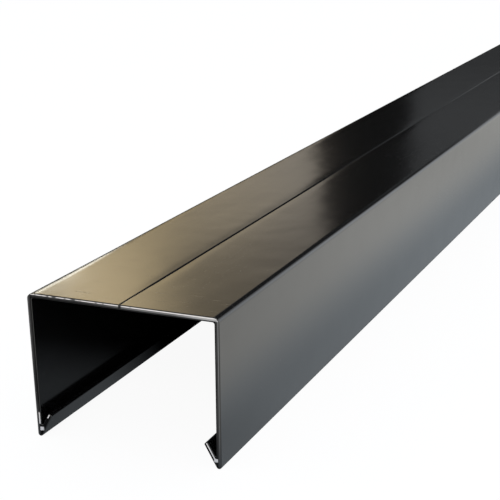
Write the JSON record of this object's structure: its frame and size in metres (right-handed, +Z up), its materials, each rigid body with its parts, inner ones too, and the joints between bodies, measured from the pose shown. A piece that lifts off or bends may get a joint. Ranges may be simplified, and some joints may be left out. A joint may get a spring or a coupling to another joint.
{
  "type": "aluminium cover profile",
  "caption": "Aluminium cover profile: an upside-down channel whose legs end in lips turned back inside, with a groove along its flat top.",
  "frame": {"origin": "centre of the cover's footprint, on the floor that its two feet stand on", "axes": "+X across the cover, +Y along its length, +Z up out of the top face"},
  "size_m": [0.08, 2, 0.0585],
  "materials": {
    "black_satin_coat": "satin black coat"
  },
  "bodies": {
    "root": {"cover_profile": "black_satin_coat"}
  },
  "joints": []
}
